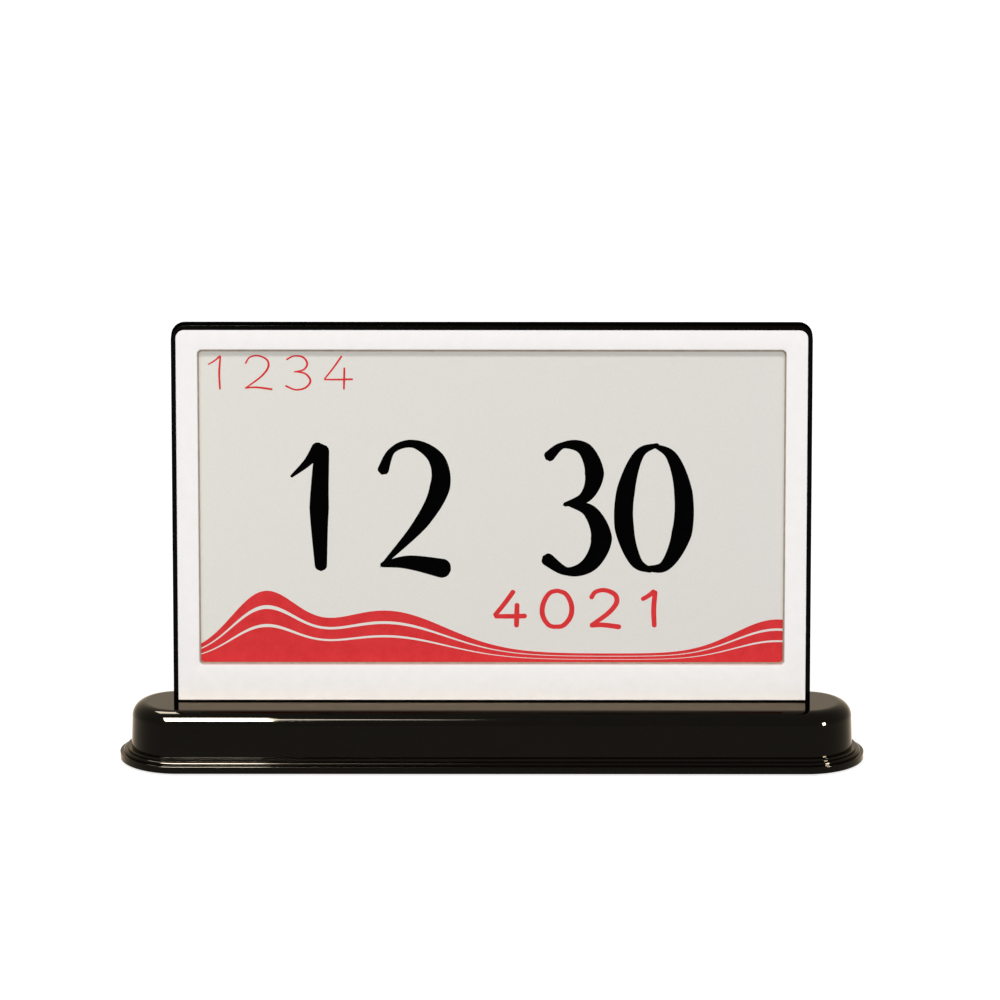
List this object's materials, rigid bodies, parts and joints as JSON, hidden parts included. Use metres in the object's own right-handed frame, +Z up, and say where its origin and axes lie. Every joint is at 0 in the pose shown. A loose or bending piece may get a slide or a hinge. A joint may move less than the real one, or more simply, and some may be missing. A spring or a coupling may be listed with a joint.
{
  "type": "e-paper nameplate",
  "caption": "Upright landscape e-paper panel in a white bezel with a thin black rim, standing in a weighted glossy base with round ends and a stepped flange.",
  "frame": {"origin": "middle of the base, on the desk surface under the feet", "axes": "+X along the base to the viewer's right, +Y away from the viewer, +Z up"},
  "size_m": [0.2086, 0.0324, 0.1263],
  "materials": {
    "white_plastic": "satin white moulded",
    "black_plastic": "polished black moulded",
    "matte_black_plastic": "fine grained black moulded",
    "epaper_film": "matt paper-like film with printed black and red",
    "backplane_glass": "thin glass with a dark array",
    "foam": "dark closed-cell foam",
    "tape": "double-sided tape",
    "circuit_board": "green solder mask",
    "chip_resin": "dark moulding resin",
    "connector_plastic": "ivory nylon",
    "shield_can": "tin-plated sheet",
    "flex_film": "amber film",
    "cell_foil": "embossed pouch foil",
    "lead_sleeve": "red lead sleeve",
    "foot_rubber": "soft rubber",
    "ballast_steel": "cold drawn bar",
    "screw_steel": "nickel-plated screws",
    "led_resin": "yellowish resin",
    "clear_plastic": "clear acrylic"
  },
  "bodies": {
    "root": {"front_bezel": "white_plastic", "panel_frame": "black_plastic", "back_cover": "black_plastic", "back_cover_screws": "screw_steel", "foam_gasket": "foam", "epaper_front_film": "epaper_film", "epaper_backplane": "backplane_glass", "display_driver_ic": "chip_resin", "display_flex": "flex_film", "display_tape": "tape", "main_board": "circuit_board", "main_board_screws": "screw_steel", "radio_module": "shield_can", "controller_chip": "chip_resin", "flex_connector": "connector_plastic", "boost_parts": "chip_resin", "cable_header": "connector_plastic", "battery_header": "connector_plastic", "battery_cell": "cell_foil", "battery_guard_board": "circuit_board", "battery_tape": "tape", "battery_leads": "lead_sleeve", "link_cable": "flex_film", "base_shell": "black_plastic", "base_plate": "matte_black_plastic", "base_plate_screws": "screw_steel", "rubber_feet": "foot_rubber", "front_ballast_bar": "ballast_steel", "rear_ballast_bar": "ballast_steel", "ballast_screws": "screw_steel", "panel_screws": "screw_steel", "io_board": "circuit_board", "io_board_screws": "screw_steel", "link_header": "connector_plastic", "usb_socket": "shield_can", "usb_contact_blade": "chip_resin", "slide_switch_body": "chip_resin", "tact_switch_body": "chip_resin", "status_led": "led_resin", "light_pipe": "clear_plastic"},
    "button": {"page_button": "matte_black_plastic", "tact_plunger": "connector_plastic"},
    "slider": {"power_slider": "matte_black_plastic", "switch_stub": "connector_plastic"}
  },
  "joints": [
    {"name": "page_button_push", "type": "slide", "parent": "root", "child": "button", "axis": [0, -1, 0], "range_m": [0, 0.0005], "stiffness_N_per_m": 2000, "springref_m": -0.0003},
    {"name": "power_slider_slide", "type": "slide", "parent": "root", "child": "slider", "axis": [1, 0, 0], "range_m": [0, 0.002]}
  ]
}
